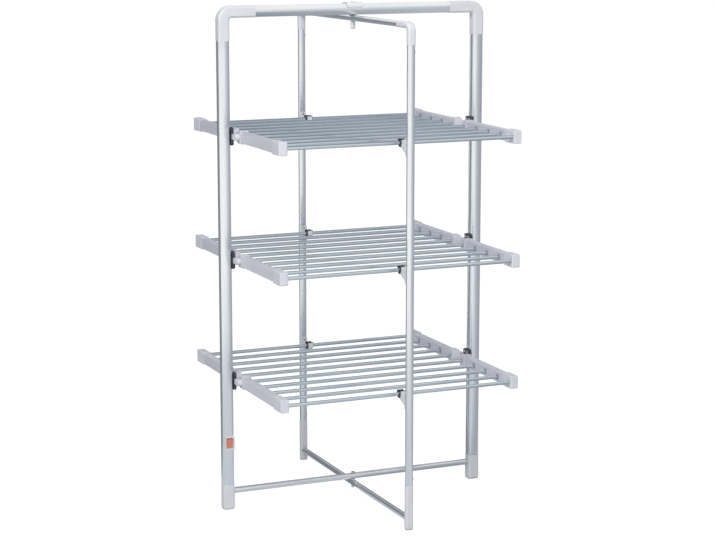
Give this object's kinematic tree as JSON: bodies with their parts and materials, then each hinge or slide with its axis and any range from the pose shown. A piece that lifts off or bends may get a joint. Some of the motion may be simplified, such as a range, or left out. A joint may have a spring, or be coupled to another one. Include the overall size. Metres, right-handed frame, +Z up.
{
  "type": "heated clothes airer",
  "caption": "Folding tower airer: two crossed hoops on a shared pivot carry tiers of electrically heated bars, with a rocker switch low on one post.",
  "frame": {"origin": "on the floor at the centre between the four feet, below the pivot of the two hoops", "axes": "+Z up; X along the outer hoop with the switch on the -X post; Y along the inner hoop with the front towards -Y"},
  "size_m": [0.786, 0.767, 1.385],
  "materials": {
    "outer_tube": "satin anodised",
    "inner_tube": "satin anodised",
    "fitting_plastic": "fine moulded grain",
    "pale_plastic": "smooth moulded",
    "dark_plastic": "moulded",
    "pad_rubber": "matt",
    "bar_aluminium": "bright anodised",
    "rail_aluminium": "satin anodised",
    "bright_steel": "zinc plated",
    "rocker_orange": "glossy translucent",
    "brass": "bright",
    "cable_silicone": "smooth"
  },
  "bodies": {
    "outer_frame": {"left_post": "outer_tube", "right_post": "outer_tube", "top_bar": "outer_tube", "corner_elbows": "fitting_plastic", "post_feet": "fitting_plastic", "post_foot_pads": "pad_rubber", "lower_crossbar": "bar_aluminium", "hinge_brackets": "dark_plastic", "hinge_yokes": "fitting_plastic", "hinge_pins": "bright_steel", "bracket_rivets": "bright_steel", "top_saddle": "pale_plastic", "upper_pivot_bolt": "bright_steel", "pivot_knob": "pale_plastic", "lower_pivot_bolt": "bright_steel", "pivot_washers": "pale_plastic", "switch_housing": "fitting_plastic", "switch_contacts": "brass", "cable_gland": "dark_plastic", "wiring_harness": "cable_silicone"},
    "inner_frame": {"inner_posts": "inner_tube", "inner_top_bar": "inner_tube", "inner_elbows": "fitting_plastic", "inner_feet": "fitting_plastic", "inner_foot_pads": "pad_rubber", "inner_crossbar": "bar_aluminium", "tier_hooks": "pale_plastic", "hook_liners": "dark_plastic", "hook_rivets": "bright_steel"},
    "rocker": {"switch_rocker": "rocker_orange"},
    "bottom_front_wing": {"bottom_front_rails": "rail_aluminium", "bottom_front_bars": "bar_aluminium", "bottom_front_end_caps": "fitting_plastic", "bottom_front_hinge_blocks": "fitting_plastic", "bottom_front_heater": "cable_silicone"},
    "bottom_rear_wing": {"bottom_rear_rails": "rail_aluminium", "bottom_rear_bars": "bar_aluminium", "bottom_rear_end_caps": "fitting_plastic", "bottom_rear_hinge_blocks": "fitting_plastic", "bottom_rear_heater": "cable_silicone"},
    "middle_front_wing": {"middle_front_rails": "rail_aluminium", "middle_front_bars": "bar_aluminium", "middle_front_end_caps": "fitting_plastic", "middle_front_hinge_blocks": "fitting_plastic", "middle_front_heater": "cable_silicone"},
    "middle_rear_wing": {"middle_rear_rails": "rail_aluminium", "middle_rear_bars": "bar_aluminium", "middle_rear_end_caps": "fitting_plastic", "middle_rear_hinge_blocks": "fitting_plastic", "middle_rear_heater": "cable_silicone"},
    "top_front_wing": {"top_front_rails": "rail_aluminium", "top_front_bars": "bar_aluminium", "top_front_end_caps": "fitting_plastic", "top_front_hinge_blocks": "fitting_plastic", "top_front_heater": "cable_silicone"},
    "top_rear_wing": {"top_rear_rails": "rail_aluminium", "top_rear_bars": "bar_aluminium", "top_rear_end_caps": "fitting_plastic", "top_rear_hinge_blocks": "fitting_plastic", "top_rear_heater": "cable_silicone"}
  },
  "joints": [
    {"name": "inner_fold", "type": "hinge", "parent": "outer_frame", "child": "inner_frame", "pos_m": [0, 0, 0], "axis": [0, 0, 1], "range_deg": [0, 78]},
    {"name": "switch_press", "type": "hinge", "parent": "outer_frame", "child": "rocker", "pos_m": [-0.377, -0.014, 0.19], "axis": [-1, 0, 0], "range_deg": [0, 14]},
    {"name": "bottom_front_lift", "type": "hinge", "parent": "outer_frame", "child": "bottom_front_wing", "pos_m": [0, -0.037, 0.362], "axis": [-1, 0, 0], "range_deg": [0, 90]},
    {"name": "bottom_rear_lift", "type": "hinge", "parent": "outer_frame", "child": "bottom_rear_wing", "pos_m": [0, 0.037, 0.362], "axis": [1, 0, 0], "range_deg": [0, 90]},
    {"name": "middle_front_lift", "type": "hinge", "parent": "outer_frame", "child": "middle_front_wing", "pos_m": [0, -0.037, 0.698], "axis": [-1, 0, 0], "range_deg": [0, 90]},
    {"name": "middle_rear_lift", "type": "hinge", "parent": "outer_frame", "child": "middle_rear_wing", "pos_m": [0, 0.037, 0.698], "axis": [1, 0, 0], "range_deg": [0, 90]},
    {"name": "top_front_lift", "type": "hinge", "parent": "outer_frame", "child": "top_front_wing", "pos_m": [0, -0.037, 1.034], "axis": [-1, 0, 0], "range_deg": [0, 90]},
    {"name": "top_rear_lift", "type": "hinge", "parent": "outer_frame", "child": "top_rear_wing", "pos_m": [0, 0.037, 1.034], "axis": [1, 0, 0], "range_deg": [0, 90]}
  ],
  "couplings": [
    {"joint": "bottom_front_lift", "follows": "inner_fold", "ratio": 1.1538},
    {"joint": "bottom_rear_lift", "follows": "inner_fold", "ratio": 1.1538},
    {"joint": "middle_front_lift", "follows": "inner_fold", "ratio": 1.1538},
    {"joint": "middle_rear_lift", "follows": "inner_fold", "ratio": 1.1538},
    {"joint": "top_front_lift", "follows": "inner_fold", "ratio": 1.1538},
    {"joint": "top_rear_lift", "follows": "inner_fold", "ratio": 1.1538}
  ]
}
